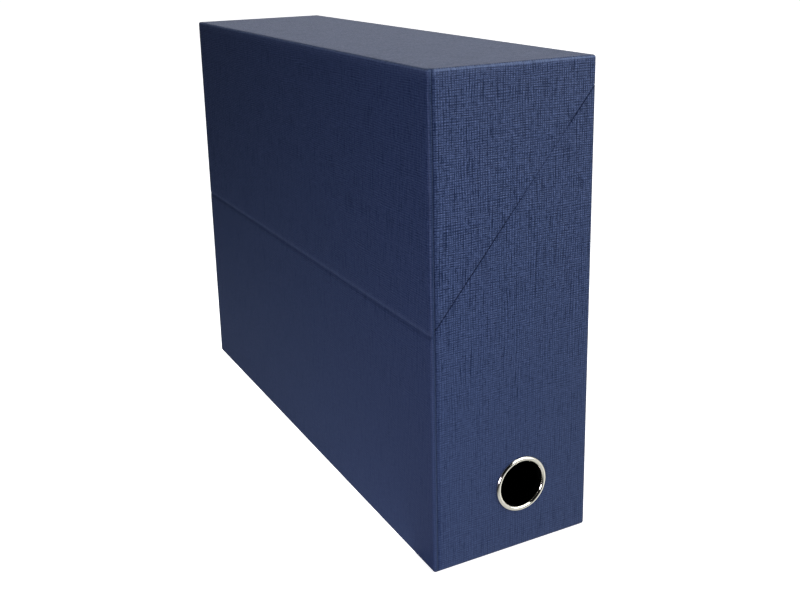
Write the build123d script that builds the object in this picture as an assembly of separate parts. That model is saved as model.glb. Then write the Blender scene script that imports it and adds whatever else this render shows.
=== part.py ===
from build123d import *
import math
import os

# Transfer file box: a rigid board box wrapped in linen-embossed paper. The
# upper part is a lid, hinged on a crease at half height of one big face.
# Frame: origin at the centre of the underside, X across the spine, Y along the
# depth with the spine on the -Y side, Z up. Millimetres.

# ---------------------------------------------------------------- outside size
WIDTH = 94.0          # across the spine, X
DEPTH = 340.0         # spine to tail, Y
HEIGHT = 255.0        # Z

# ---------------------------------------------------------------- thicknesses
BOARD = 2.0           # grey board of the walls
GUSSET = 1.7          # thinner board of the lid's two triangles
COVER = 0.25          # linen-embossed covering paper
LINING = 0.25         # lining paper
TAPE = 0.25           # book-cloth strip inside the hinge
NECK = 1.0            # guide strips inside the two ends

# ---------------------------------------------------------------- lid and seam
HINGE_Z = 127.5       # crease, half of the height
HINGE_OUT = 0.2       # the axis lies this far outside the big face
SEAM_RIGHT_Z = 241.3  # height of the seam at the far big face
SEAM_GAP = 0.35       # free gap between the two papers along the seam
HINGE_GAP_BOARD = 1.0   # gap between the two board edges at the crease
HINGE_GAP_PAPER = 0.4   # gap between the two paper leaves at the crease
CREASE_DEPTH = 0.5    # how far the paper sinks in along the crease
CREASE_HALF = 4.0     # half width of that shallow valley
EDGE_R = 1.45         # rounding of the box's outer edges, over the paper
GROOVE_R_LEFT = 0.8   # the left boards' rounding on the groove side
GROOVE_R_END = 1.6    # the end boards' rounding on the groove side
GROOVE_LEAN = 0.5     # the base's paper leans back this far beside the lid's wall

# ---------------------------------------------------------------- neck strips
NECK_BELOW = 18.0     # glued width below the seam
NECK_ABOVE = 10.0     # free width above the seam
NECK_REACH = 143.6    # farthest point from the hinge axis, inside the lip's swing
NECK_ROUND = 4.0      # corner rounding

# ---------------------------------------------------------------- finger ring
RING_X = 5.2          # centre, a little to the right of the middle
RING_Z = 36.3         # centre above the underside
RING_HOLE_R = 12.6
RING_BARREL_R = 13.1
RING_OUTER_R = 15.15
RING_PROUD = 1.4
WALL_HOLE_R = 13.25
WASHER_R = 16.6
WASHER_IN_R = 13.3
WASHER_T = 0.5
CLINCH_R = 14.6
CLINCH_T = 0.45

# ---------------------------------------------------------------- derived
XO, YO = WIDTH / 2, DEPTH / 2
XB, YB = XO - COVER, YO - COVER              # outer face of the boards
XI, YI = XB - BOARD, YB - BOARD              # inner face of the boards
XL, YL = XI - LINING, YI - LINING            # inner face of the lining
YG = YB - GUSSET                             # inner face of the lid triangles
YGL = YG - LINING
ZB0, ZB1 = COVER, COVER + BOARD              # bottom board
ZL1 = ZB1 + LINING
ZT1 = HEIGHT - COVER                         # top of the top board
ZT0 = ZT1 - BOARD
ZTL = ZT0 - LINING
AX, AZ = -XO - HINGE_OUT, HINGE_Z            # hinge axis in the XZ plane
SLOPE = (SEAM_RIGHT_Z - AZ) / (XO - AX)
ANGLE = math.atan(SLOPE)
HALF = SEAM_GAP / 2
XF, YF = XO - EDGE_R, YO - EDGE_R      # end of the flat part of the underside and top
XE = -XI + 2 * COVER                   # start of the end boards: a slit is left for
XP = -XI + COVER                       # two papers, which meet at XP


def seam(x, off=0.0):
    """Height of the seam plane at x, moved off mm square to the plane."""
    return AZ + (x - AX) * SLOPE + off / math.cos(ANGLE)


def slab(x0, x1, y0, y1, z0, z1):
    return Pos((x0 + x1) / 2, (y0 + y1) / 2, (z0 + z1) / 2) * Box(
        x1 - x0, y1 - y0, z1 - z0
    )


def wall(points, y0, y1):
    """A flat plate: points are (x, z), the plate runs from y0 to y1."""
    face = make_face(Polyline(*points, close=True))
    return extrude(Plane.XZ.offset(-y1) * face, amount=y1 - y0)


def tube(r0, r1, y0, y1, x=RING_X, z=RING_Z):
    """A ring about the finger hole's axis."""
    ring = Circle(r1) - Circle(r0) if r0 > 0 else Circle(r1)
    return extrude(Plane.XZ.offset(-y1) * (Pos(x, z) * ring), amount=y1 - y0)


def rounded(x, y, z0, z1, r):
    """A block about the Z axis, x by y, with every edge rounded."""
    block = slab(-x, x, -y, y, z0, z1)
    return fillet(block.edges(), r)


def plan(points, radii, z0, z1):
    """An upright plate from its outline in plan, with single corners rounded."""
    face = make_face(Polyline(*points, close=True))
    for (px, py), r in radii:
        near = face.vertices().sort_by_distance((px, py, 0))[0]
        face = fillet(near, r)
    return extrude(Pos(0, 0, z0) * face, amount=z1 - z0)


def write(shape, name):
    solids = shape.solids()
    body = solids[0] if len(solids) == 1 else Compound(list(solids))
    export_step(body, f"parts/{name}.step")


os.makedirs("parts", exist_ok=True)
parts = {}

def valley(x):
    """The shallow valley along the crease, to be cut into a face at x."""
    d, w = CREASE_DEPTH, CREASE_HALF
    r = (w * w + d * d) / (2 * d)
    half = math.asin(w / r) / 2
    dx, dz = r * (1 - math.cos(half)), w - r * math.sin(half)
    lower = ThreePointArc((x, AZ - w), (x + dx, AZ - dz), (x + d, AZ))
    upper = ThreePointArc((x + d, AZ), (x + dx, AZ + dz), (x, AZ + w))
    back = Polyline((x, AZ + w), (x - 1, AZ + w), (x - 1, AZ - w), (x, AZ - w))
    face = make_face(Curve() + [lower, upper, back])
    return extrude(Plane.XZ.offset(-YO - 1) * face, amount=2 * YO + 2)


# The outer edges are rounded: the paper's outside and the boards under it.
PAPER_SHAPE = rounded(XO, YO, 0, HEIGHT, EDGE_R) - valley(-XO)
BOARD_SHAPE = rounded(XB, YB, ZB0, ZT1, EDGE_R - COVER) - valley(-XB)
SHELL = PAPER_SHAPE - BOARD_SHAPE


def left_block(x_out, x_in, y, r):
    """The left wall in plan, over the whole height, rounded on the groove side."""
    outline = [(x_out, -y), (x_in, -y), (x_in, y), (x_out, y)]
    return plan(outline, [((x_in, -y), r), ((x_in, y), r)], 0, HEIGHT)


def end_block(x0, y_out, r):
    """An end wall over the whole height, from x0 on, rounded on the groove side."""
    s = math.copysign(1, y_out)
    y_far, k = y_out + s, r * (1 - math.sqrt(0.5))
    arc = ThreePointArc((x0 + r, y_out), (x0 + k, y_out - s * k), (x0, y_out - s * r))
    back = Polyline(
        (x0, y_out - s * r),
        (x0 - 1, y_out - s * r),
        (x0 - 1, y_far),
        (x0 + r, y_far),
        (x0 + r, y_out),
    )
    off = extrude(make_face(Curve() + [arc, back]), amount=HEIGHT + 2, dir=(0, 0, 1))
    block = slab(x0, XO + 1, min(y_far, s * YI), max(y_far, s * YI), -1, HEIGHT + 1)
    return block - Pos(0, 0, -1) * off


LEFT_BOARDS = left_block(-XB, -XI, YB, GROOVE_R_LEFT) & BOARD_SHAPE
LEFT_PAPERS = left_block(-XO, XP, YO, GROOVE_R_LEFT + COVER) & PAPER_SHAPE
END_BOARDS = (BOARD_SHAPE & end_block(XE, -YB, GROOVE_R_END)) + (
    BOARD_SHAPE & end_block(XE, YB, GROOVE_R_END)
)
END_PAPERS = (PAPER_SHAPE & end_block(XP, -YO, GROOVE_R_END + COVER)) + (
    PAPER_SHAPE & end_block(XP, YO, GROOVE_R_END + COVER)
)


def left_board(z0, z1):
    return slab(-XO, XO, -YO, YO, z0, z1) & LEFT_BOARDS


def end_board(outline, y_out, y_in):
    """A spine or tail board, rounded on the groove side of its outer face."""
    return wall(outline, min(y_out, y_in), max(y_out, y_in)) & END_BOARDS


# ---------------------------------------------------------------- base boards
parts["base_bottom_board"] = slab(-XI, XI, -YI, YI, ZB0, ZB1)
parts["base_left_board"] = left_board(ZB0, HINGE_Z - HINGE_GAP_BOARD / 2)
parts["base_right_board"] = BOARD_SHAPE & wall(
    [
        (XI, ZB0),
        (XB, ZB0),
        (XB, seam(XB, -HALF - COVER)),
        (XI, seam(XI, -HALF - COVER)),
    ],
    -YB,
    YB,
)
# The two ends stop under the slanting seam. Their upper left corner leans in,
# so that it stays clear of the lid's wall.
end_outline = [
    (XE, ZB0),
    (XI, ZB0),
    (XI, seam(XI, -HALF - COVER)),
    (XE + GROOVE_LEAN, seam(XE + GROOVE_LEAN, -HALF - COVER)),
    (XE, HINGE_Z - 9.5),
]
parts["base_spine_board"] = end_board(end_outline, -YB, -YI) - tube(
    0, WALL_HOLE_R, -YB - 1, -YI + 1
)
parts["base_tail_board"] = end_board(end_outline, YB, YI)

# ---------------------------------------------------------------- base papers
PAPER_TOP = HINGE_Z - HINGE_GAP_PAPER / 2

# The left sheet goes round the ends of the left boards and into the slit.
LEFT_SHEET = (
    LEFT_PAPERS
    - LEFT_BOARDS
    - slab(-XI, XP, -YI, YI, 0, HEIGHT)
    - slab(-XF, XO, -YF, YF, 0, COVER)
    - slab(-XF, XO, -YF, YF, HEIGHT - COVER, HEIGHT)
)
# The side sheet goes round the spine, the right wall and the tail, and into
# the slit at both ends.
SIDE_SHEET = (
    END_PAPERS
    - END_BOARDS
    - slab(-XF, XF, -YF, YF, 0, COVER)
    - slab(-XF, XF, -YF, YF, HEIGHT - COVER, HEIGHT)
) + (SHELL & slab(XF, XO, -YO, YO, 0, HEIGHT))

parts["base_left_cover_paper"] = slab(-XO, XO, -YO, YO, 0, PAPER_TOP) & LEFT_SHEET
below = wall(
    [
        (XP, 0),
        (XO, 0),
        (XO, seam(XO, -HALF)),
        (XP, seam(XP, -HALF)),
    ],
    -YO,
    YO,
)
lean = wall(
    [
        (XP - 1, HINGE_Z - 8),
        (XP, HINGE_Z - 8),
        (XP + GROOVE_LEAN, seam(XP + GROOVE_LEAN, 0)),
        (XP - 1, seam(XP + GROOVE_LEAN, 0)),
    ],
    -YO,
    YO,
)


def turn_in(lo, hi, x0, x1, y0, y1):
    """The strip of paper folded over a cut edge, between two seam offsets."""
    return wall(
        [
            (x0, seam(x0, lo)),
            (x1, seam(x1, lo)),
            (x1, seam(x1, hi)),
            (x0, seam(x0, hi)),
        ],
        y0,
        y1,
    )


parts["base_side_cover_paper"] = (
    (below & SIDE_SHEET)
    + (turn_in(-HALF - COVER, -HALF, XP, XO, -YO, YO) & END_PAPERS)
    + (PAPER_SHAPE & turn_in(-HALF - COVER, -HALF, XI, XO, -YO, YO))
    - lean
) - tube(0, WALL_HOLE_R, -YO - 1, -YI + 1)
parts["base_bottom_paper"] = slab(-XF, XF, -YF, YF, 0, COVER)

# ---------------------------------------------------------------- base linings
LIN_EDGE = 0.3                         # the linings stop short of the edges
parts["base_lining_paper"] = (
    slab(-XI, XI, -YI, YI, ZB1, ZL1)
    + slab(-XI, -XL, -YI, YI, ZL1, HINGE_Z - HINGE_GAP_BOARD / 2)
    + wall(
        [
            (XL, ZL1),
            (XI, ZL1),
            (XI, seam(XI, -HALF - COVER - LIN_EDGE)),
            (XL, seam(XL, -HALF - COVER - LIN_EDGE)),
        ],
        -YI,
        YI,
    )
)
lining_outline = [
    (-XL, ZL1),
    (XL, ZL1),
    (XL, seam(XL, -HALF - COVER - LIN_EDGE)),
    (-XL + 0.9, seam(-XL + 0.9, -HALF - COVER - LIN_EDGE)),
    (-XL, HINGE_Z - 9.5),
]
parts["spine_lining_paper"] = wall(lining_outline, -YI, -YL) - tube(
    0, WALL_HOLE_R, -YI - 1, -YL + 1
)
parts["tail_lining_paper"] = wall(lining_outline, YL, YI)

# ---------------------------------------------------------------- neck strips
# Thin strips glued inside the two ends, standing above the seam, that guide
# the lid's triangles. They stay inside the circle that the lip sweeps.
neck_x0, neck_x1 = -XL + 0.7, XL - 0.3
neck_face = make_face(
    Polyline(
        (neck_x0, seam(neck_x0, -NECK_BELOW)),
        (neck_x1, seam(neck_x1, -NECK_BELOW)),
        (neck_x1, seam(neck_x1, NECK_ABOVE)),
        (neck_x0, seam(neck_x0, NECK_ABOVE)),
        close=True,
    )
)
reach = Pos(AX, AZ) * Circle(NECK_REACH)
neck_face = neck_face & reach
neck_face = fillet(neck_face.vertices(), NECK_ROUND / 2)


def neck(y0, y1):
    return extrude(Plane.XZ.offset(-y1) * neck_face, amount=y1 - y0)


parts["spine_neck_strip"] = neck(-YL, -YL + NECK)
parts["tail_neck_strip"] = neck(YL - NECK, YL)

# ---------------------------------------------------------------- finger ring
# One pressed eyelet: a rolled bead in front, a barrel through the wall and an
# edge clinched over a washer behind it. Turned about the hole's axis.
y_face = -YO
y_back = -YL + WASHER_T                # back of the washer
bead_mid = (RING_HOLE_R + RING_OUTER_R) / 2
profile = Polyline(
    (RING_HOLE_R, y_face - RING_PROUD * 0.55),
    (RING_HOLE_R, y_back + CLINCH_T),
    (CLINCH_R, y_back + CLINCH_T),
    (CLINCH_R, y_back),
    (RING_BARREL_R, y_back),
    (RING_BARREL_R, y_face),
    (RING_OUTER_R, y_face),
    (RING_OUTER_R, y_face - RING_PROUD * 0.45),
)
crown = ThreePointArc(
    (RING_OUTER_R, y_face - RING_PROUD * 0.45),
    (bead_mid + 0.1, y_face - RING_PROUD),
    (RING_HOLE_R, y_face - RING_PROUD * 0.55),
)
ring_face = make_face(Curve() + [profile, crown])
ring = revolve(ring_face, Axis.Y)
parts["finger_ring"] = Pos(RING_X, 0, RING_Z) * ring
parts["finger_ring_washer"] = tube(WASHER_IN_R, WASHER_R, -YL, -YL + WASHER_T)

# ---------------------------------------------------------------- lid boards
LID_Z0 = HINGE_Z + HINGE_GAP_BOARD / 2
parts["lid_left_board"] = left_board(LID_Z0, ZT1)
parts["lid_top_board"] = (
    BOARD_SHAPE & slab(-XI, XI, -YI, YI, ZT0, ZT1)
) + (slab(-XI, XI, -YB, YB, ZT0, ZT1) & END_BOARDS)
parts["lid_lip_board"] = BOARD_SHAPE & wall(
    [
        (XI, seam(XI, HALF + COVER)),
        (XB, seam(XB, HALF + COVER)),
        (XB, ZT1),
        (XI, ZT1),
    ],
    -YB,
    YB,
)
gusset_outline = [
    (XE, seam(XE, HALF + COVER)),
    (XI, seam(XI, HALF + COVER)),
    (XI, ZT0),
    (XE, ZT0),
]
parts["lid_spine_gusset_board"] = end_board(gusset_outline, -YB, -YG)
parts["lid_tail_gusset_board"] = end_board(gusset_outline, YB, YG)

# ---------------------------------------------------------------- lid papers
LID_PAPER_Z0 = HINGE_Z + HINGE_GAP_PAPER / 2
parts["lid_cover_paper"] = (
    (slab(-XO, XO, -YO, YO, LID_PAPER_Z0, HEIGHT) & LEFT_SHEET)
    - slab(-XI, XI, -YG, YG, 0, ZT0)
) + (SHELL & slab(-XO, XF, -YF, YF, HEIGHT - EDGE_R, HEIGHT))
above = wall(
    [
        (XP, seam(XP, HALF)),
        (XO, seam(XO, HALF)),
        (XO, HEIGHT),
        (XP, HEIGHT),
    ],
    -YO,
    YO,
)
# the turned-in strips are only as deep as the thinner boards here
inside = slab(-XI, XI, -YG, YG, 0, ZT1)
parts["lid_side_cover_paper"] = (
    (above & SIDE_SHEET)
    + (turn_in(HALF, HALF + COVER, XP, XO, -YO, YO) & END_PAPERS)
    - inside
) + (PAPER_SHAPE & turn_in(HALF, HALF + COVER, XI, XO, -YO, YO))

# ---------------------------------------------------------------- lid linings
LEFT_Y = YI - 0.65                     # clear of the base's ends
parts["lid_lining_paper"] = (
    slab(-XI, XI, -YG, YG, ZTL, ZT0)
    + slab(-XI, -XL, -LEFT_Y, LEFT_Y, LID_Z0, ZTL)
    + wall(
        [
            (XL, seam(XL, HALF + COVER + LIN_EDGE)),
            (XI, seam(XI, HALF + COVER + LIN_EDGE)),
            (XI, ZTL),
            (XL, ZTL),
        ],
        -YG,
        YG,
    )
)
gusset_lining = [
    (-XL, seam(-XL, HALF + COVER + LIN_EDGE)),
    (XL, seam(XL, HALF + COVER + LIN_EDGE)),
    (XL, ZTL),
    (-XL, ZTL),
]
parts["lid_spine_gusset_lining"] = wall(gusset_lining, -YG, -YGL)
parts["lid_tail_gusset_lining"] = wall(gusset_lining, YGL, YG)

# ---------------------------------------------------------------- hinge tape
# Each leaf lies on the lining and turns down over the end of its board, as far
# as the covering paper.
TAPE_HALF = 15.5
TAPE_Y = 167.0
TAPE_X0 = -XB + CREASE_DEPTH
LEG = HINGE_Z - HINGE_GAP_BOARD / 2    # end of the base's left board
parts["hinge_tape_base_leaf"] = slab(
    -XL, -XL + TAPE, -TAPE_Y, TAPE_Y, HINGE_Z - TAPE_HALF, LEG
) + slab(TAPE_X0, -XL + TAPE, -TAPE_Y, TAPE_Y, LEG, LEG + TAPE)
parts["hinge_tape_lid_leaf"] = slab(
    -XL, -XL + TAPE, -TAPE_Y, TAPE_Y, LID_Z0, HINGE_Z + TAPE_HALF
) + slab(TAPE_X0, -XL + TAPE, -TAPE_Y, TAPE_Y, LID_Z0 - TAPE, LID_Z0)

# ---------------------------------------------------------------- write
for name, shape in parts.items():
    write(shape, name)

print("seam angle", round(math.degrees(ANGLE), 2), "pieces", len(parts))
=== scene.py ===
import math

import bmesh
import bpy
import numpy as np
from mathutils import Matrix, Vector, noise


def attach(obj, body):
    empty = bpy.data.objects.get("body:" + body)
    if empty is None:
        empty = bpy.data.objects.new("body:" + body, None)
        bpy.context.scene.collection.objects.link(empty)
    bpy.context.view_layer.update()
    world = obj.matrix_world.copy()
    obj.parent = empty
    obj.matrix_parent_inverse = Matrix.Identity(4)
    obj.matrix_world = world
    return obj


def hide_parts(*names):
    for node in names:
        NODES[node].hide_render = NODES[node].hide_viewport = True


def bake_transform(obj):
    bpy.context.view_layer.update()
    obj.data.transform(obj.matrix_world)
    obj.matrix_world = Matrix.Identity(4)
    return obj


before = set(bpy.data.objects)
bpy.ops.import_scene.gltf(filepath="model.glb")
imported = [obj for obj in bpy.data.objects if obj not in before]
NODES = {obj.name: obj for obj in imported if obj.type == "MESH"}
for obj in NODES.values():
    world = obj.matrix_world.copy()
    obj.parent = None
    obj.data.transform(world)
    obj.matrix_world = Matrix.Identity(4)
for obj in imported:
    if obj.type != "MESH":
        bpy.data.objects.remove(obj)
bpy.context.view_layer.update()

MM = 0.001

# ------------------------------------------------------------------ sizes (mm)
XO, YO, H = 47.0, 170.0, 255.0
COVER = 0.25
XI, YI = 44.75, 167.75            # inner faces of the walls
R = 1.45                          # rounding of the outer edges
XF, YF = XO - R, YO - R
AX, AZ = -47.2, 127.5             # the crease, where the lid turns
ANG = math.atan((241.3 - AZ) / (XO - AX))
SA, CA = math.sin(ANG), math.cos(ANG)
HALF = 0.175                      # half of the gap along the slanting seam
NS = np.array([-SA, 0.0, CA])     # square to the seam, towards the lid
RING_X, RING_Z = 5.2, 36.3
# the two sheets that meet in the groove beside the spine: where each starts to
# turn in, its radius and the angle that it turns through, and where it ends
LEFT_GX, LEFT_GR, LEFT_GA, LEFT_END = -45.55, 1.167, 60.9, -44.53
SIDE_GX, SIDE_GR, SIDE_GA, SIDE_END = -42.62, 3.155, 35.9, -44.47
TURN_IN = 1.5                    # paper folded into the slit, side sheet
LEFT_TURN_IN = 2.85              # and face sheet, up to the lining


def seam(x, off=0.0):
    return AZ + ((x - AX) * SA + off) / CA


def smooth(t):
    t = min(1.0, max(0.0, t))
    return t * t * (3 - 2 * t)


def steps(a, b, step):
    n = max(1, int(round(abs(b - a) / step)))
    return [a + (b - a) * i / n for i in range(n + 1)]


# ------------------------------------------------------------------ mesh tools
def collection():
    return bpy.context.scene.collection


def new_object(name, bm):
    mesh = bpy.data.meshes.new(name)
    bm.to_mesh(mesh)
    bm.free()
    o = bpy.data.objects.new(name, mesh)
    collection().objects.link(o)
    return o


def apply_modifier(o, kind, **settings):
    m = o.modifiers.new(kind.lower(), kind)
    for key, value in settings.items():
        setattr(m, key, value)
    dg = bpy.context.evaluated_depsgraph_get()
    mesh = bpy.data.meshes.new_from_object(o.evaluated_get(dg), depsgraph=dg)
    mesh.name = o.name
    old = o.data
    o.modifiers.clear()
    o.data = mesh
    bpy.data.meshes.remove(old)
    return o


class Surface:
    """Quad grids in millimetres, welded where they meet, with a flat map in
    millimetres of the sheet that they are folded from."""

    def __init__(self):
        self.bm = bmesh.new()
        self.uv = self.bm.loops.layers.uv.new("sheet_mm")

    def grid(self, points, flat, normals, keep=None):
        rows, cols = len(points), len(points[0])
        verts = [
            [self.bm.verts.new(Vector(points[j][i]) * MM) for i in range(cols)]
            for j in range(rows)
        ]
        for j in range(rows - 1):
            for i in range(cols - 1):
                if keep is not None and not keep(i, j):
                    continue
                at = [(j, i), (j, i + 1), (j + 1, i + 1), (j + 1, i)]
                a, b, c = (Vector(points[q][w]) for q, w in (at[0], at[1], at[2]))
                d = Vector(points[at[3][0]][at[3][1]])
                n = (c - a).cross(d - b)
                if n.length < 1e-9:
                    continue
                if n.dot(Vector(normals[j][i])) < 0:
                    at.reverse()
                try:
                    face = self.bm.faces.new([verts[q][w] for q, w in at])
                except ValueError:
                    continue
                face.smooth = True
                for loop, (q, w) in zip(face.loops, at):
                    loop[self.uv].uv = flat[q][w]

    def done(self, name):
        bm = self.bm
        bmesh.ops.remove_doubles(bm, verts=bm.verts, dist=2e-6)
        bmesh.ops.dissolve_degenerate(bm, edges=bm.edges, dist=1e-6)
        loose = [v for v in bm.verts if not v.link_faces]
        bmesh.ops.delete(bm, geom=loose, context="VERTS")
        return new_object(name, bm)


def thicken(o, t):
    return apply_modifier(
        o,
        "SOLIDIFY",
        thickness=t * MM,
        offset=-1.0,
        use_even_offset=False,
        use_rim=True,
    )


def sharpen(o, degrees=38):
    """Smooth faces, with hard edges where two faces meet at an angle."""
    o.data.shade_smooth()
    o.data.set_sharp_from_angle(angle=math.radians(degrees))
    return o


def wear_highlight_and_shade(o):
    """Writes, 0 to 1, a painted highlight with a little wear: the front half of the rolled
    top edges most, the other outer edges hardly, and the crease's upper flank. Also painted shade, where the paper is
    made darker."""
    co = np.array([v.co for v in o.data.vertices], float) / MM
    side = np.minimum(XO - np.abs(co[:, 0]), YO - np.abs(co[:, 1]))
    top = H - co[:, 2]

    def ramp(a):
        a = np.clip(a, 0, 1)
        return a * a * (3 - 2 * a)

    # painted highlight on the front half of the rolled top edges, where the light catches them
    w = ramp((top - 0.20) / 0.3) * (1 - ramp((top - 0.95) / 0.75)) * (side < 0.5)
    gaps = np.stack(
        [XO - np.abs(co[:, 0]), YO - np.abs(co[:, 1]), np.minimum(co[:, 2], top)], 1
    )
    gaps = np.sort(np.clip(gaps, 0, None), axis=1)
    # a faint lighter line on the other outer edges: partly wear, partly painted highlight
    w = np.maximum(w, 0.03 * (1 - ramp((gaps[:, 1] - 0.3) / 1.2)) * (top > 1.0))
    # the upper flank of the crease gets a painted highlight, the lower one painted shade
    face = (co[:, 0] < -XO + 1.2) & (np.abs(co[:, 1]) < YF + 1.0)
    t = co[:, 2] - AZ
    w = np.maximum(w, 0.17 * np.exp(-(((t - 1.4) / 1.0) ** 2)) * face)
    shade = 0.46 * np.exp(-(((t + 1.0) / 1.0) ** 2)) * face
    # painted shade in the groove beside the spine, fainter lower down, and where the crease crosses the wrapped strip
    end = np.abs(co[:, 1]) > YF - 0.1
    d = co[:, 0] + 44.5
    groove = np.where(d < 0, 1 - ramp((-d - 0.5) / 1.9), 1 - ramp((d - 0.1) / 1.7))
    groove *= 0.35 + 0.65 * ramp(co[:, 2] / 200.0)
    groove = np.maximum(groove, 0.9 * np.exp(-((t / 0.7) ** 2)) * (d < 0) * (d > -2.4))
    shade = np.maximum(shade, groove * end)
    # painted shade along the folds of the slanting seam where it stands open
    open_ = np.array([seam_state(x, y < 0) if abs(y) > YF else 1.0 for x, y in co[:, :2]])
    off = np.abs((co[:, 2] - AZ - (co[:, 0] - AX) * SA / CA) * CA)
    shade = np.maximum(shade, 0.85 * open_ * (1 - ramp((off - 0.22) / 0.35)) * (co[:, 0] > -44.5))
    for name, value in (("wear_and_highlight", w), ("shade", shade)):
        a = o.data.attributes.new(name, "FLOAT", "POINT")
        a.data.foreach_set("value", value.astype(np.float32))
    return o


def unevenness(x, y, z, size=0.07):
    """Slow waviness of pasted paper, fading out at edges and by the ring."""
    d = sorted([XO - abs(x), YO - abs(y), min(z, H - z)])
    fade = smooth((d[1] - 2.0) / 14.0)
    if y < -YI:
        r = math.hypot(x - RING_X, z - RING_Z)
        fade *= smooth((r - 18.0) / 14.0)
    fade *= smooth((abs(z - AZ) - 4.0) / 10.0) if x < -XI else 1.0
    p = Vector((x * 0.021, y * 0.021, z * 0.021))
    q = Vector((x * 0.06 + 7.0, y * 0.06, z * 0.06))
    return size * fade * (noise.noise(p) + 0.35 * noise.noise(q))


# ------------------------------------------------------- the sheet in plan view
def arc(cx, cy, r, a0, a1, n):
    """Points round an arc, with their outward normal (sin a, -cos a)."""
    out = []
    for i in range(n + 1):
        a = math.radians(a0 + (a1 - a0) * i / n)
        out.append((cx + r * math.sin(a), cy - r * math.cos(a), math.sin(a), -math.cos(a)))
    return out


def side_plan():
    """Spine, far big face and tail: from slit to slit."""
    gx, gy, gr, ga = SIDE_GX, YO - SIDE_GR, SIDE_GR, SIDE_GA
    path = [(SIDE_END, -YO + TURN_IN, -1.0, 0.0)]
    path += arc(gx, -gy, gr, -ga, 0, 9)
    path += [(x, -YO, 0.0, -1.0) for x in steps(gx, XF, 3.0)[1:]]
    path += arc(XF, -YF, R, 0, 90, 8)[1:]
    path += [(XO, y, 1.0, 0.0) for y in steps(-YF, YF, 4.0)[1:]]
    path += arc(XF, YF, R, 90, 180, 8)[1:]
    path += [(x, YO, 0.0, 1.0) for x in steps(XF, gx, 3.0)[1:]]
    path += arc(gx, gy, gr, 180, 180 + ga, 9)[1:]
    path += [(SIDE_END, YO - TURN_IN, -1.0, 0.0)]
    return path


def left_plan():
    """The hinge-side big face with its ends wrapped round: slit to slit."""
    gx, gy, gr, ga = LEFT_GX, YO - LEFT_GR, LEFT_GR, LEFT_GA
    path = [(LEFT_END, -YO + LEFT_TURN_IN, 1.0, 0.0)]
    path += arc(gx, -gy, gr, ga, 0, 9)
    path += arc(-XF, -YF, R, 0, -90, 9)[1:]
    path += [(-XO, y, -1.0, 0.0) for y in steps(-YF, YF, 4.0)[1:]]
    path += arc(-XF, YF, R, -90, -180, 9)[1:]
    path += arc(gx, gy, gr, -180, -180 - ga, 9)[1:]
    path += [(LEFT_END, YO - LEFT_TURN_IN, 1.0, 0.0)]
    return path


def groove_roll(px, py, nx, ny, up, last, count):
    """Where a column in the groove meets the rolled top (up = 1) or bottom edge,
    and the points from the roll's far end down to there. A column that lies
    deeper than the roll stays upright."""
    side = math.copysign(1, py)
    zc = H - R if up > 0 else R
    deep = YO - abs(py)
    a0 = math.degrees(math.acos(max(-1.0, min(1.0, 1 - deep / R))))
    upright = a0 > last - 12
    if upright:
        last -= 24
        a0 = last - 16
    out = []
    for k in range(count):
        a = math.radians(a0 + (last - a0) * (1 - k / count))
        n = (0.0, side * math.cos(a), up * math.sin(a))
        y = side * (YF + R * math.cos(a))
        if upright:
            n, y = (nx, ny, 0.0), py
        out.append(((px, y, zc + up * R * math.sin(a)), n, zc + up * R * a))
    return zc + up * R * math.sin(math.radians(a0)), out


def lengths(path, start=0.0):
    s, out = start, [start]
    for a, b in zip(path, path[1:]):
        s += math.hypot(b[0] - a[0], b[1] - a[1])
        out.append(s)
    return out


def slerp(a, b, t):
    a, b = np.array(a, float), np.array(b, float)
    w = math.acos(max(-1.0, min(1.0, float(a @ b))))
    if w < 1e-6:
        return a
    return (math.sin((1 - t) * w) * a + math.sin(t * w) * b) / math.sin(w)


def seam_state(px, near):
    """How open the slanting seam is at px: 0 shut tight, 1 open."""
    if not near:
        px = -px * 0.6
    shut = smooth((px + 14) / 26) * (1 - smooth((px - 28) / 8))
    return 1 - 0.74 * shut


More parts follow.
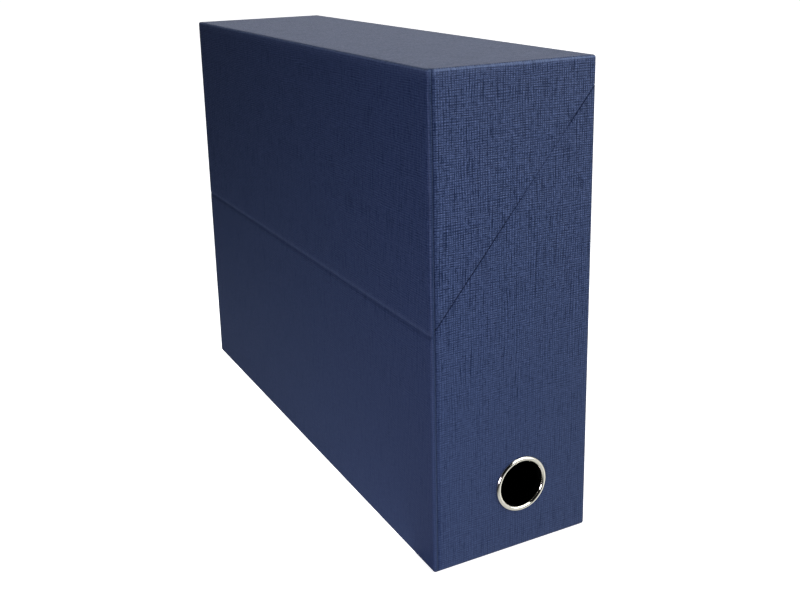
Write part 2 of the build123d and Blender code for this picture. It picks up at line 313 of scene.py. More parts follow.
def side_sheet(name, lid):
    """The paper round the spine, far face and tail, on one side of the seam.
    The edge along the seam is folded over the board."""
    path = side_plan()
    flat_s = lengths(path)
    depth = 1.95 if lid else 2.25
    up = 1 if lid else -1
    sign = float(up)
    columns = []
    for (px, py, nx, ny), s in zip(path, flat_s):
        n = np.array([nx, ny, 0.0])
        groove = px <= SIDE_GX + 1e-6
        # the seam closes up in the middle of each end
        open_ = seam_state(px, py < 0) if abs(ny) > 0.99 else 1.0
        half = 0.02 + (HALF - 0.02) * open_
        fold_r = 0.13 + 0.17 * open_
        q = np.array([px, py]) - fold_r * n[:2]
        bz = seam(q[0], sign * (half + fold_r))
        rows = []
        # the rolled long edge, under the bottom or over the top
        last = 84 if lid else 86
        if groove:
            z_edge, roll = groove_roll(px, py, nx, ny, up, last, 8)
            rows += [(np.array(p), np.array(m), v) for p, m, v in roll]
        else:
            z_edge = H - R if lid else R
            core = np.array([px - R * nx, py - R * ny, z_edge])
            for k in range(8):
                a = math.radians(last * (1 - k / 8))
                m = n * math.cos(a) + np.array([0, 0, math.sin(a) * up])
                rows.append((core + R * m, m, z_edge + up * R * a))
        # the upright part
        n_up = 60 if not lid else 32
        for k in range(n_up + 1):
            f = k / n_up
            z = z_edge + (bz - z_edge) * f
            bump = unevenness(px, py, z) * (1 - smooth((f - 0.9) / 0.1))
            rows.append((np.array([px, py, z]) + n * bump, n, z))
        # the fold over the board's slanting edge
        fold_n = -NS if lid else NS
        b = np.array([q[0], q[1], bz])
        for k in range(1, 7):
            m = slerp(n, fold_n, k / 6)
            rows.append((b + fold_r * m, m, bz - sign * fold_r * 1.5 * k / 6))
        inner = np.array([px, py]) - depth * n[:2]
        lim = YO - depth
        if groove:
            inner = np.array([px - 0.25 * nx, math.copysign(lim, py)])
        elif abs(nx) < 0.99 and abs(ny) < 0.99 or px > XI:
            inner[0] = min(inner[0], XI)
        inner[1] = max(-lim, min(lim, inner[1]))
        end = np.array([inner[0], inner[1], seam(inner[0], sign * half)])
        start = b + fold_r * fold_n
        for k in (1, 2, 3):
            p = start + (end - start) * k / 3
            rows.append((p, fold_n, bz - sign * (0.7 + 2.0 * k / 3)))
        columns.append((rows, s))
    surface = Surface()
    count = len(columns[0][0])
    points = [[tuple(c[0][j][0]) for c in columns] for j in range(count)]
    normals = [[tuple(c[0][j][1]) for c in columns] for j in range(count)]
    flat = [[(c[1], c[0][j][2]) for c in columns] for j in range(count)]
    surface.grid(points, flat, normals)
    o = surface.done(name)
    thicken(o, COVER)
    return o


def valley(t):
    """How deep the paper lies along the crease, t mm above or below it."""
    half, deep, soft = 4.0, 0.5, 0.30
    r = (half * half + deep * deep) / (2 * deep)
    w = half - math.sqrt(t * t + soft * soft)
    return r - math.sqrt(r * r - w * w) if w > 0 else 0.0


def left_rows():
    near = [0.05 * k for k in range(13)]
    near += [0.75, 0.95, 1.2, 1.5, 1.8, 2.2, 2.6, 3.0, 3.4, 3.8, 4.2, 4.8, 5.6, 6.6, 8.0]
    low = steps(R, AZ - 8.0, 4.0)[:-1]
    return (
        low
        + [AZ - t for t in reversed(near)]
        + [AZ + t for t in near[1:]]
        + [H - z for z in reversed(low)]
    )


def left_and_top_sheet(name):
    """One sheet: the whole hinge-side face with its crease, its two ends wrapped
    round the boards, and the top."""
    path = left_plan()
    s_at = lengths(path)
    mid = 0.5 * s_at[-1]
    zs = left_rows()
    columns = []
    for (px, py, nx, ny), s in zip(path, s_at):
        n = np.array([nx, ny, 0.0])
        rows = []
        groove = px > -XF
        if groove:
            z_lo, low = groove_roll(px, py, nx, ny, -1, 88, 8)
            z_hi, high = groove_roll(px, py, nx, ny, 1, 90, 8)
        else:
            z_lo, z_hi = R, H - R
            low, high = [], []
            for k in range(8):
                a = math.radians(88 * (1 - k / 8))
                m = n * math.cos(a) - np.array([0, 0, math.sin(a)])
                low.append((np.array([px - R * nx, py - R * ny, R]) + R * m, m, R - R * a))
            for k in range(8):
                a = math.radians(90 * (1 - k / 8))
                m = n * math.cos(a) + np.array([0, 0, math.sin(a)])
                high.append((np.array([px - R * nx, py - R * ny, H - R]) + R * m, m, H - R + R * a))
        rows += low
        for i, z in enumerate(zs):
            if i == 0:
                z = z_lo
            elif i == len(zs) - 1:
                z = z_hi
            out = unevenness(px, py, z)
            if abs(ny) > 0.7:
                # a slight pinch where the wrapped end folds
                out -= 0.12 * math.exp(-(((z - AZ) / 0.6) ** 2))
            p = np.array([px, py, z]) + n * out
            p[0] = max(p[0], -XO + valley(z - AZ)) if valley(z - AZ) > 0 else p[0]
            rows.append((p, n, z))
        rows += list(reversed(high))
        columns.append((rows, s))
    count = len(columns[0][0])
    surface = Surface()
    surface.grid(
        [[tuple(c[0][j][0]) for c in columns] for j in range(count)],
        [[(mid - c[1], c[0][j][2]) for c in columns] for j in range(count)],
        [[tuple(c[0][j][1]) for c in columns] for j in range(count)],
    )
    # the top
    ys = [(py, s) for (px, py, nx, ny), s in zip(path, s_at) if nx < -0.9999]
    xs = steps(-XF, XF - 0.12, 4.0)
    tp, tn, tf = [], [], []
    for x in xs:
        tp.append([(x, y, H + unevenness(x, y, H, 0.06)) for y, s in ys])
        tn.append([(0, 0, 1)] * len(ys))
        tf.append([(mid - s, H - R + R * math.pi / 2 + x + XF) for y, s in ys])
    surface.grid(tp, tf, tn)
    o = surface.done(name)
    thicken(o, COVER)
    return o


def bottom_sheet(name):
    """The paper on the underside."""
    gap = 0.12
    xs, ys = steps(-XF + gap, XF - gap, 5.0), steps(-YF + gap, YF - gap, 5.0)
    surface = Surface()

    def lift(x, y):
        d = min(XF - gap - abs(x), YF - gap - abs(y))
        return 0.05 * (1 - smooth(d / 1.0)) + 0.02 * smooth((d - 4) / 20)

    surface.grid(
        [[(x, y, lift(x, y)) for x in xs] for y in ys],
        [[(x, y) for x in xs] for y in ys],
        [[(0, 0, -1)] * len(xs) for y in ys],
    )
    o = surface.done(name)
    thicken(o, 0.2)
    return o


def hinge_tape(name):
    """The cloth strip inside the hinge. It lies on the lining above and below,
    and between them it turns down over the board ends into the crease."""
    x_face, x_deep, r = -44.25, -45.83, 0.25
    line = []                               # x, z, normal x, normal z
    low = [-15.5, -15.0, -14.0, -12.0, -10.0, -8.0, -6.0, -4.0, -2.5, -1.5, -0.8, -0.5]
    line += [(x_face, AZ + t, 1.0, 0.0) for t in low]
    for k in range(1, 6):
        a = math.radians(90 * k / 5)
        line.append((x_face - r + r * math.cos(a), AZ - 0.5 + r * math.sin(a), math.cos(a), math.sin(a)))
    line += [(x, AZ - 0.25, 0.0, 1.0) for x in steps(x_face - r, x_deep, 0.3)[1:]]
    for k in range(1, 12):
        a = math.radians(-90 + 180 * k / 12)
        line.append((x_deep - r * math.cos(a), AZ + r * math.sin(a), math.cos(a), -math.sin(a)))
    half = [(x, 2 * AZ - z, nx, -nz) for x, z, nx, nz in line[: len(line) - 11]]
    line += reversed(half)
    run = [0.0]
    for a, b in zip(line, line[1:]):
        run.append(run[-1] + math.hypot(b[0] - a[0], b[1] - a[1]))
    ys = steps(-167.0, 167.0, 4.0)
    points, normals, flat = [], [], []
    for (x, z, nx, nz), v in zip(line, run):
        row = []
        for y in ys:
            fray = 0.25 * noise.noise(Vector((y * 0.35, z * 0.2, 3.0)))
            row.append((x, y, z + (fray if abs(z - AZ) > 14.9 else 0.0)))
        points.append(row)
        normals.append([(nx, 0, nz)] * len(ys))
        flat.append([(y, v) for y in ys])
    surface = Surface()
    surface.grid(points, flat, normals)
    o = surface.done(name)
    thicken(o, 0.22)
    return o


def turned(name, profile, x0, z0, count=112, closed=True, wobble=None):
    """A ring about an axis along Y from a profile of (radius, y)."""
    bm = bmesh.new()
    uv = bm.loops.layers.uv.new("sheet_mm")
    rings = []
    for k in range(count):
        a = 2 * math.pi * k / count
        ring = []
        for i, (r, y) in enumerate(profile):
            if wobble:
                r, y = wobble(r, y, a, i)
            ring.append(
                bm.verts.new(
                    Vector((x0 + r * math.cos(a), y, z0 + r * math.sin(a))) * MM
                )
            )
        rings.append(ring)
    n = len(profile)
    run = [0.0]
    for i in range(n):
        a, b = profile[i], profile[(i + 1) % n]
        run.append(run[-1] + math.hypot(b[0] - a[0], b[1] - a[1]))
    for k in range(count):
        for i in range(n if closed else n - 1):
            a, b = rings[k], rings[(k + 1) % count]
            face = bm.faces.new([a[i], a[(i + 1) % n], b[(i + 1) % n], b[i]])
            face.smooth = True
            rm = profile[i][0]
            us = [k, k, k + 1, k + 1]
            vs = [run[i], run[i + 1], run[i + 1], run[i]]
            for loop, u, v in zip(face.loops, us, vs):
                loop[uv].uv = (u * 2 * math.pi * rm / count, v)
    bmesh.ops.recalc_face_normals(bm, faces=bm.faces)
    return new_object(name, bm)


def spline_profile(points, per=6):
    """A closed smooth line through points; a point given twice is a corner."""
    out, n = [], len(points)
    for i in range(n):
        p0, p1, p2, p3 = (np.array(points[(i + k - 1) % n], float) for k in range(4))
        if np.allclose(p1, p2):
            continue
        for k in range(per):
            t = k / per
            out.append(
                tuple(
                    0.5
                    * (
                        2 * p1
                        + (p2 - p0) * t
                        + (2 * p0 - 5 * p1 + 4 * p2 - p3) * t * t
                        + (3 * p1 - p0 - 3 * p2 + p3) * t ** 3
                    )
                )
            )
    return out


# ------------------------------------------------------------------ materials
class Nodes:
    def __init__(self, name):
        self.m = bpy.data.materials.new(name)
        self.m.use_nodes = True
        self.t = self.m.node_tree
        self.t.nodes.clear()
        self.out = self.t.nodes.new("ShaderNodeOutputMaterial")
        self.bsdf = self.t.nodes.new("ShaderNodeBsdfPrincipled")
        self.t.links.new(self.bsdf.outputs["BSDF"], self.out.inputs["Surface"])

    def link(self, a, b):
        self.t.links.new(a, b)

    def add(self, kind, **settings):
        node = self.t.nodes.new(kind)
        for key, value in settings.items():
            setattr(node, key, value)
        return node

    def put(self, socket, value):
        if isinstance(value, bpy.types.NodeSocket):
            self.link(value, socket)
        else:
            socket.default_value = value

    def math(self, op, a, b=0.0, c=None, clamp=False):
        node = self.add("ShaderNodeMath", operation=op, use_clamp=clamp)
        self.put(node.inputs[0], a)
        self.put(node.inputs[1], b)
        if c is not None:
            self.put(node.inputs[2], c)
        return node.outputs[0]

    def combine(self, x, y, z=0.0):
        node = self.add("ShaderNodeCombineXYZ")
        for socket, value in zip(node.inputs, (x, y, z)):
            self.put(socket, value)
        return node.outputs[0]

    def noise(self, vector, scale=1.0, detail=2.0, rough=0.5, dims="3D"):
        node = self.add("ShaderNodeTexNoise", noise_dimensions=dims)
        self.link(vector, node.inputs["Vector"])
        node.inputs["Scale"].default_value = scale
        node.inputs["Detail"].default_value = detail
        node.inputs["Roughness"].default_value = rough
        return node.outputs[0]

    def remap(self, value, a, b, c=0.0, d=1.0, smooth=False):
        node = self.add("ShaderNodeMapRange", clamp=True)
        node.interpolation_type = "SMOOTHSTEP" if smooth else "LINEAR"
        self.link(value, node.inputs["Value"])
        for socket, number in zip(list(node.inputs)[1:5], (a, b, c, d)):
            socket.default_value = number
        return node.outputs[0]

    def mix(self, factor, a, b):
        node = self.add("ShaderNodeMix", data_type="RGBA")
        self.put(node.inputs["Factor"], factor)
        for socket, value in (([s for s in node.inputs if s.name == "A"][2], a),
                              ([s for s in node.inputs if s.name == "B"][2], b)):
            self.put(socket, value if isinstance(value, bpy.types.NodeSocket) else (*value, 1.0))
        return [s for s in node.outputs if s.name == "Result"][2]

    def bump(self, height, distance_mm, strength=1.0, normal=None):
        node = self.add("ShaderNodeBump")
        node.inputs["Strength"].default_value = strength
        node.inputs["Distance"].default_value = distance_mm * MM
        self.link(height, node.inputs["Height"])
        if normal is not None:
            self.link(normal, node.inputs["Normal"])
        return node.outputs[0]

    def sheet(self):
        """The flat map of a folded sheet, in millimetres: across, up."""
        node = self.add("ShaderNodeUVMap", uv_map="sheet_mm")
        split = self.add("ShaderNodeSeparateXYZ")
        self.link(node.outputs[0], split.inputs[0])
        return split.outputs[0], split.outputs[1]

    def object_mm(self):
        node = self.add("ShaderNodeTexCoord")
        scale = self.add("ShaderNodeVectorMath", operation="SCALE")
        self.link(node.outputs["Object"], scale.inputs[0])
        scale.inputs["Scale"].default_value = 1000.0
        split = self.add("ShaderNodeSeparateXYZ")
        self.link(scale.outputs[0], split.inputs[0])
        return scale.outputs[0], split.outputs


def linen_paper(name, shift=0.0, contrast=1.0, relief=1.0):
    """Dark blue covering paper, embossed as linen: threads of uneven thickness
    upright and across, over a plain weave, coloured lighter on raised threads and darker in recesses, partly wear and
    partly painted relief shade and sheen. The embossing and this painted shading are deeper higher up."""
    n = Nodes(name)
    u, v = n.sheet()
    M, A = (lambda a, b: n.math("MULTIPLY", a, b)), (lambda a, b: n.math("ADD", a, b))

    def field(uu, su, vv, sv, seed, detail=1.0, rough=0.5):
        return n.noise(n.combine(M(uu, su), M(vv, sv), shift + seed), 1.0, detail, rough)

    def centred(value, gain):
        return M(n.math("SUBTRACT", value, 0.5), gain)

    # threads wander a little
    u2 = A(u, centred(field(u, 0.09, v, 0.020, 0), 3.4))
    v2 = A(v, centred(field(u, 0.028, v, 0.10, 5), 2.8))
    # the plain weave
    pu = n.math("SINE", M(u2, 2 * math.pi / 1.39))
    pv = n.math("SINE", M(v2, 2 * math.pi / 1.17))
    patch = n.remap(field(u, 0.075, v, 0.10, 11, 2.0), 0.35, 0.65, 0.78, 1.22)
    across = M(n.remap(field(u, 0.34, v, 0.66, 12, 1.0), 0.35, 0.65, 0.10, 1.50), patch)
    along = M(n.remap(field(u, 0.70, v, 0.32, 13, 1.0), 0.35, 0.65, 0.10, 1.50), n.math("SUBTRACT", 2.0, patch))
    weave = A(A(M(M(pv, across), 0.86), M(M(pu, along), 0.68)), M(M(pu, pv), 0.62))
    # thick and thin threads
    coarse = field(u2, 0.20, v2, 0.018, 1, 2.0, 0.6)
    middle = field(u2, 0.95, v2, 0.060, 2, 1.0)
    fine = field(u2, 1.30, v2, 0.33, 3, 1.0)
    cross = field(u2, 0.33, v2, 1.30, 4, 1.0)
    slub = field(u2, 0.62, v2, 0.66, 6, 2.0, 0.7)
    gaps = n.remap(middle, 0.32, 0.44, -0.75, 0.0)
    total = A(A(centred(coarse, 0.35), centred(middle, 0.6)), A(centred(fine, 2.2), centred(cross, 1.8)))
    total = A(A(total, gaps), A(centred(slub, 1.7), weave))
    # the bump and the weave's painted relief shade and sheen are weaker towards the bottom, following light that
    # grazes the top more
    depth = n.remap(v, 40.0, 200.0, 0.36, 0.90, smooth=True)
    total = M(total, depth)
    height = A(M(total, 0.30), 0.5)
    # slow change of tone over the sheet
    tone = field(u, 0.012, v, 0.012, 9, 2.0)
    # the weave's colour: raised threads lighter and recesses darker, partly wear and partly painted relief shade and
    # sheen
    level = n.math("ADD", M(total, 0.295 * contrast), 0.315, clamp=True)
    colour = n.mix(level, (0.0010, 0.0090, 0.0390), (0.0765, 0.1150, 0.2440))
    colour = n.mix(n.remap(tone, 0.3, 0.7, 0.0, 0.10), colour, (0.021, 0.037, 0.095))
    # painted highlight on the rolled top edges and the crease's upper flank, with a little edge wear, mixed in as a
    # lighter colour and broken up by noise
    wear_and_highlight = n.add("ShaderNodeAttribute", attribute_name="wear_and_highlight").outputs["Fac"]
    highlight_breakup = field(u, 0.5, v, 0.5, 7, 4.0, 0.7)
    highlight_and_wear_amount = M(wear_and_highlight, n.remap(highlight_breakup, 0.36, 0.72, 0.30, 0.85))
    colour = n.mix(highlight_and_wear_amount, colour, (0.115, 0.165, 0.300))
    # painted shade: the groove beside the spine, the crease's lower flank and the open seam folds are mixed towards
    # dark blue and made rougher
    shade = n.add("ShaderNodeAttribute", attribute_name="shade").outputs["Fac"]
    colour = n.mix(M(shade, 0.56), colour, (0.006, 0.014, 0.042))
    n.put(n.bsdf.inputs["Base Color"], colour)
    n.put(n.bsdf.inputs["Roughness"], A(n.remap(height, 0.1, 0.9, 0.58, 0.42), M(shade, 0.40)))
    n.bsdf.inputs["Specular IOR Level"].default_value = 0.16
    n.bsdf.inputs["Sheen Weight"].default_value = 0.03
    n.bsdf.inputs["Sheen Roughness"].default_value = 0.5
    n.bsdf.inputs["Sheen Tint"].default_value = (0.7, 0.8, 1.0, 1.0)
    n.link(n.bump(height, 0.13 * relief), n.bsdf.inputs["Normal"])
    return n.m


def grey_board(name):
    n = Nodes(name)
    p, (x, y, z) = n.object_mm()
    fibre = n.noise(p, 1.3, 5.0, 0.7)
    fleck = n.noise(p, 3.1, 2.0, 0.5)
    layer = n.noise(n.combine(n.math("MULTIPLY", x, 0.25), n.math("MULTIPLY", y, 0.25), z), 2.0, 3.0, 0.6)
    colour = n.mix(n.remap(fibre, 0.3, 0.7), (0.225, 0.200, 0.165), (0.345, 0.315, 0.265))
    colour = n.mix(n.remap(fleck, 0.66, 0.74, 0.0, 0.6), colour, (0.11, 0.10, 0.09))
    n.put(n.bsdf.inputs["Base Color"], colour)
    n.put(n.bsdf.inputs["Roughness"], n.remap(fibre, 0.2, 0.8, 0.96, 0.84))
    n.bsdf.inputs["Specular IOR Level"].default_value = 0.2
    n.link(n.bump(n.math("ADD", fibre, layer), 0.12), n.bsdf.inputs["Normal"])
    return n.m


def lining_paper(name, dark=(0.0130, 0.0140, 0.0175), light=(0.028, 0.030, 0.036)):
    """Smooth dark lining: fine fibres, faint clouds and a dull satin face."""
    n = Nodes(name)
    p, (x, y, z) = n.object_mm()
    fibre = n.noise(p, 2.4, 4.0, 0.7)
    cloud = n.noise(p, 0.045, 3.0, 0.55)
    mottle = n.math("ADD", n.math("MULTIPLY", fibre, 0.55), n.math("MULTIPLY", cloud, 0.45))
    n.put(n.bsdf.inputs["Base Color"], n.mix(n.remap(mottle, 0.36, 0.64), dark, light))
    n.put(n.bsdf.inputs["Roughness"], n.remap(mottle, 0.3, 0.7, 0.72, 0.56))
    n.bsdf.inputs["Specular IOR Level"].default_value = 0.35
    n.link(n.bump(fibre, 0.035), n.bsdf.inputs["Normal"])
    return n.m


def book_cloth(name):
    n = Nodes(name)
    u, v = n.sheet()
    slow = n.noise(n.combine(n.math("MULTIPLY", u, 0.4), n.math("MULTIPLY", v, 0.4)), 1.0, 2.0)
    u2 = n.math("ADD", u, n.math("MULTIPLY", slow, 0.3))
    su = n.math("SINE", n.math("MULTIPLY", u2, 2 * math.pi / 0.55))
    sv = n.math("SINE", n.math("MULTIPLY", v, 2 * math.pi / 0.55))
    weave = n.math("ADD", n.math("MULTIPLY", n.math("MULTIPLY", su, sv), 0.5), 0.5)
    yarn = n.noise(n.combine(n.math("MULTIPLY", u, 0.25), n.math("MULTIPLY", v, 2.6)), 1.0, 2.0)
    height = n.math("ADD", n.math("MULTIPLY", weave, 0.65), n.math("MULTIPLY", yarn, 0.35))
    n.put(n.bsdf.inputs["Base Color"], n.mix(n.remap(height, 0.2, 0.8), (0.012, 0.013, 0.018), (0.034, 0.037, 0.048)))
    n.put(n.bsdf.inputs["Roughness"], n.remap(height, 0.2, 0.8, 0.86, 0.70))
    n.bsdf.inputs["Specular IOR Level"].default_value = 0.3
    n.bsdf.inputs["Sheen Weight"].default_value = 0.12
    n.bsdf.inputs["Sheen Roughness"].default_value = 0.5
    n.link(n.bump(height, 0.09), n.bsdf.inputs["Normal"])
    return n.m


def nickel(name, rough=0.035):
    n = Nodes(name)
    p, (x, y, z) = n.object_mm()
    haze = n.noise(p, 0.35, 3.0, 0.6)
    polish = n.noise(n.combine(n.math("MULTIPLY", x, 2.2), n.math("MULTIPLY", y, 9.0), n.math("MULTIPLY", z, 2.2)), 1.0, 3.0, 0.6)
    n.put(n.bsdf.inputs["Base Color"], n.mix(n.remap(haze, 0.35, 0.65), (0.75, 0.73, 0.63), (0.81, 0.795, 0.71)))
    n.put(n.bsdf.inputs["Roughness"], n.remap(haze, 0.3, 0.7, rough, rough + 0.03))
    n.bsdf.inputs["Metallic"].default_value = 1.0
    n.link(n.bump(polish, 0.002), n.bsdf.inputs["Normal"])
    return n.m


LINEN_SIDE = linen_paper("linen_paper_side", 0.0, 1.0, 1.0)
LINEN_LID = linen_paper("linen_paper_lid_side", 40.0, 1.0, 1.0)
LINEN_LEFT = linen_paper("linen_paper_face", 80.0, 0.52, 0.6)
LINEN_BOTTOM = linen_paper("linen_paper_underside", 120.0, 0.8, 0.6)
BOARD = grey_board("grey_board")
LINING = lining_paper("lining_paper")
NECK = lining_paper("neck_board_face", (0.012, 0.0125, 0.0145), (0.029, 0.030, 0.033))
CLOTH = book_cloth("hinge_cloth")
NICKEL = nickel("nickel_plate", 0.085)
NICKEL_BACK = nickel("nickel_plate_dull", 0.24)


def dress(o, material):
    o.data.materials.clear()
    o.data.materials.append(material)
    return o


# --------------------------------------------------------------- the new pieces
cover = left_and_top_sheet("cover_sheet_face_and_top")
wear_highlight_and_shade(cover)
sharpen(cover)
dress(cover, LINEN_LEFT)
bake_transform(cover)
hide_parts("base_left_cover_paper", "lid_cover_paper")

base_side = side_sheet("cover_sheet_base_side", lid=False)
hole = turned(
    "hole_cutter",
    [(0.0, -172.0), (13.25, -172.0), (13.25, -166.0), (0.0, -166.0)],
    RING_X,
    RING_Z,
    96,
    closed=False,
)
bm = bmesh.new()
bm.from_mesh(hole.data)
bmesh.ops.remove_doubles(bm, verts=bm.verts, dist=1e-7)
bmesh.ops.recalc_face_normals(bm, faces=bm.faces)
bm.to_mesh(hole.data)
bm.free()
apply_modifier(base_side, "BOOLEAN", operation="DIFFERENCE", object=hole, solver="EXACT")
bpy.data.objects.remove(hole)
wear_highlight_and_shade(base_side)
sharpen(base_side)
dress(base_side, LINEN_SIDE)
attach(base_side, "base")
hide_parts("base_side_cover_paper")

lid_side = side_sheet("cover_sheet_lid_side", lid=True)
wear_highlight_and_shade(lid_side)
sharpen(lid_side)
dress(lid_side, LINEN_LID)
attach(lid_side, "lid")
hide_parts("lid_side_cover_paper")

underside = bottom_sheet("cover_sheet_underside")
wear_highlight_and_shade(underside)
sharpen(underside)
dress(underside, LINEN_BOTTOM)
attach(underside, "base")
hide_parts("base_bottom_paper")

tape = hinge_tape("hinge_cloth_strip")
sharpen(tape)
dress(tape, CLOTH)
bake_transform(tape)
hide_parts("hinge_tape_base_leaf", "hinge_tape_lid_leaf")

# The finger ring: a pressed eyelet with a rolled bead in front, a drawn barrel
# and its end rolled out over the washer.
ring_profile = spline_profile(
    [
        (15.13, -170.02),
        (15.13, -170.02),
        (15.15, -170.42),
        (14.98, -170.86),
        (14.55, -171.24),
        (13.98, -171.40),
        (13.42, -171.30),
        (12.95, -170.98),
        (12.68, -170.50),
        (12.60, -169.90),
        (12.60, -168.60),
        (12.60, -167.30),
        (12.72, -166.88),
        (13.10, -166.60),
        (13.70, -166.56),
        (14.30, -166.66),
        (14.58, -166.86),
        (14.58, -166.86),
        (14.45, -166.98),
        (14.45, -166.98),
        (13.55, -166.92),
        (13.12, -167.20),
        (13.05, -167.80),
        (13.05, -169.40),
        (13.10, -170.00),
        (13.10, -170.00),
    ],
    5,
)


def rolled(r, y, a, i):
    """The rolled back edge is slightly uneven."""
    if y > -167.05 and r > 13.3:
        k = (r - 13.3) / 1.3
        r += k * (0.05 * math.sin(9 * a + 0.6) + 0.03 * math.sin(17 * a))
    return r, y


ring = turned("finger_ring_eyelet", ring_profile, RING_X, RING_Z, 128, wobble=rolled)
sharpen(ring, 50)
dress(ring, NICKEL)
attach(ring, "base")
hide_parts("finger_ring")

washer_profile = spline_profile(
    [
        (13.30, -167.46),
        (13.30, -167.30),
        (13.34, -167.08),
        (13.55, -167.00),
        (14.60, -167.02),
        (15.80, -167.06),
        (16.42, -167.12),
        (16.60, -167.28),
        (16.58, -167.44),
        (16.40, -167.50),
        (15.00, -167.49),
        (13.60, -167.50),
    ],
    4,
)
washer = turned("finger_ring_back_washer", washer_profile, RING_X, RING_Z, 112)
sharpen(washer, 50)
dress(washer, NICKEL_BACK)
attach(washer, "base")
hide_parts("finger_ring_washer")

# --------------------------------------------------- finishes of the CAD pieces
for node in NODES:
    if NODES[node].hide_render:
        continue
    if node.endswith("_board"):
        dress(NODES[node], BOARD)
    elif node.endswith("neck_strip"):
        dress(NODES[node], NECK)
    elif "lining" in node:
        dress(NODES[node], LINING)

# ------------------------------------------------------------------ the stage
def plain(name, colour, emission=0.0, rough=0.8):
    n = Nodes(name)
    p, xyz = n.object_mm()
    cloud = n.noise(p, 0.004, 2.0, 0.5)
    n.put(n.bsdf.inputs["Base Color"], n.mix(n.remap(cloud, 0.3, 0.7), tuple(0.985 * c for c in colour), colour))
    n.bsdf.inputs["Roughness"].default_value = rough
    n.bsdf.inputs["Specular IOR Level"].default_value = 0.0
    n.bsdf.inputs["Emission Color"].default_value = (1, 1, 1, 1)
    n.bsdf.inputs["Emission Strength"].default_value = emission
    return n.m


# The floor that is seen, and a disc just above it that throws light back on the
# box and isn't seen itself.
SEEN = plain("pale_floor", (0.50, 0.50, 0.50), 0.93)
seen = SEEN.node_tree
place = seen.nodes.new("ShaderNodeTexCoord")
away = seen.nodes.new("ShaderNodeVectorMath")
away.operation = "LENGTH"
seen.links.new(place.outputs["Object"], away.inputs[0])
glow = seen.nodes.new("ShaderNodeMapRange")
for socket, number in zip(list(glow.inputs)[1:5], (0.5, 2.5, 0.93, 1.02)):
    socket.default_value = number
seen.links.new(away.outputs["Value"], glow.inputs["Value"])
for node in seen.nodes:
    if node.type == "BSDF_PRINCIPLED":
        seen.links.new(glow.outputs[0], node.inputs["Emission Strength"])
BOUNCE = plain("pale_floor_bounce", (0.60, 0.60, 0.60), 1.12)
bm = bmesh.new()
bmesh.ops.create_grid(bm, x_segments=24, y_segments=24, size=14.0)
floor = new_object("floor_seen", bm)
floor.location = (0, 0, -0.0008)
floor.visible_diffuse = False
bm = bmesh.new()
bmesh.ops.create_circle(bm, cap_ends=True, cap_tris=True, segments=96, radius=0.26)
bmesh.ops.scale(bm, verts=bm.verts, vec=(0.62, 1.0, 1.0))
bounce = new_object("floor_bounce", bm)
bounce.location = (-0.095, 0.10, -0.0003)
bounce.visible_camera = False
bounce.visible_shadow = False
for o, material in ((floor, SEEN), (bounce, BOUNCE)):
    dress(o, material)
    o.visible_glossy = False

bm = bmesh.new()
bmesh.ops.create_icosphere(bm, subdivisions=4, radius=13.5)
dome = new_object("pale_backdrop", bm)
dome.data.shade_smooth()
dress(dome, plain("pale_backdrop", (0.0, 0.0, 0.0), 1.0))
for flag in ("visible_glossy", "visible_diffuse", "visible_shadow", "visible_transmission", "visible_volume_scatter"):
    setattr(dome, flag, False)

# ------------------------------------------------------------------ the light
world = bpy.data.worlds.new("studio")
bpy.context.scene.world = world
world.use_nodes = True
wt = world.node_tree
wt.nodes.clear()


class WorldNodes(Nodes):
    def __init__(self, tree):
        self.t = tree


w = WorldNodes(wt)
coord = w.add("ShaderNodeTexCoord").outputs["Generated"]


def lobe(direction, low, high, value):
    """Light from round one direction, fading out between two cosines."""
    d = Vector(direction).normalized()
    dot = w.add("ShaderNodeVectorMath", operation="DOT_PRODUCT")
    w.link(coord, dot.inputs[0])
    dot.inputs[1].default_value = d
    return w.remap(dot.outputs["Value"], low, high, 0.0, value, smooth=True)


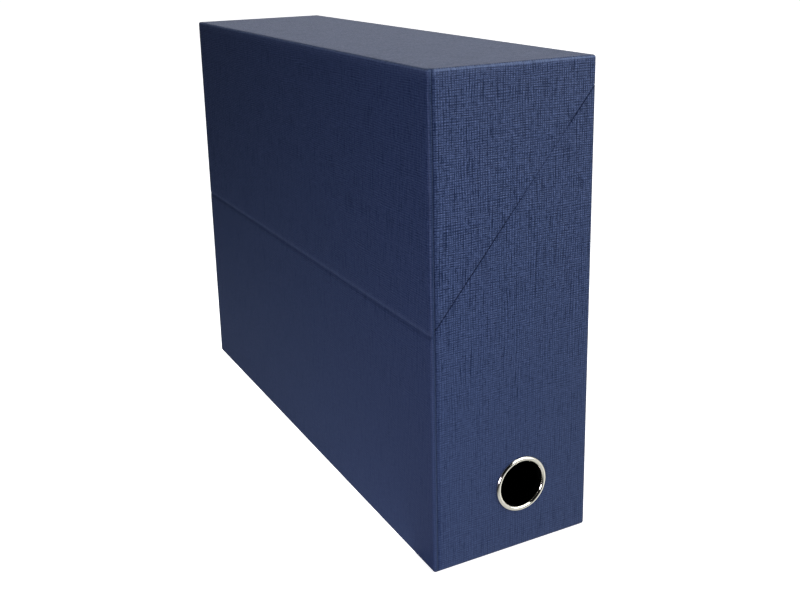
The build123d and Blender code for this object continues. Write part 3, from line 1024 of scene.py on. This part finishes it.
level = w.math("ADD", lobe((0.43, 0.90, 0.13), 0.86, 0.99, 1.05), 0.008)
level = w.math("ADD", level, lobe((0.1, -0.25, -1.0), 0.35, 0.85, 0.70))
level = w.math("ADD", level, lobe((1.0, -0.15, -0.05), 0.45, 0.90, 0.80))
background = w.add("ShaderNodeBackground")
background.inputs["Color"].default_value = (1.0, 1.0, 1.0, 1.0)
w.link(level, background.inputs["Strength"])
w_out = w.add("ShaderNodeOutputWorld")
w.link(background.outputs[0], w_out.inputs["Surface"])


def area(name, place, aim, size, power, colour=(1, 1, 1), spread=180):
    light = bpy.data.lights.new(name, "AREA")
    light.shape = "RECTANGLE"
    light.size, light.size_y = size
    light.energy = power
    light.color = colour
    light.spread = math.radians(spread)
    o = bpy.data.objects.new(name, light)
    collection().objects.link(o)
    o.location = place
    o.rotation_euler = (Vector(aim) - Vector(place)).to_track_quat("-Z", "Y").to_euler()
    o.visible_camera = False
    return o


area("key_softbox", (1.15, -1.75, 1.30), (0.0, -0.17, 0.16), (2.3, 2.3), 46)
area("top_softbox", (0.60, 0.25, 2.2), (0, 0, 0.2), (2.2, 2.2), 39)
area("upper_right_softbox", (0.17, -0.36, 0.31), (0.040, -0.17, 0.235), (0.10, 0.10), 0.12)
area("low_front_left", (-0.42, -0.44, 0.07), (-0.047, -0.12, 0.09), (0.22, 0.12), 1.6, (0.96, 0.90, 1.10))

# ------------------------------------------------------------------ the camera
az, pitch, roll = 0.4783, -0.2621, -0.0221
place = Vector((-0.26906, -0.56935, 0.31257))
fwd = Vector((math.sin(az) * math.cos(pitch), math.cos(az) * math.cos(pitch), math.sin(pitch)))
right = Vector((math.cos(az), -math.sin(az), 0.0))
up = right.cross(fwd)
right2 = right * math.cos(roll) + up * math.sin(roll)
up2 = -right * math.sin(roll) + up * math.cos(roll)
camera = bpy.data.cameras.new("camera")
camera.sensor_width = 36.0
camera.lens = 1031.43 / 800 * 36.0
camera.shift_y = -0.11
camera.clip_start, camera.clip_end = 0.01, 60.0
cam = bpy.data.objects.new("camera", camera)
collection().objects.link(cam)
m = Matrix.Identity(4)
for row in range(3):
    m[row][0], m[row][1], m[row][2], m[row][3] = right2[row], up2[row], -fwd[row], place[row]
cam.matrix_world = m
bpy.context.scene.camera = cam

bpy.context.scene.view_settings.view_transform = "Standard"
bpy.context.scene.view_settings.look = "None"
bpy.context.scene.view_settings.exposure = 0.0
bpy.context.scene.view_settings.gamma = 1.0
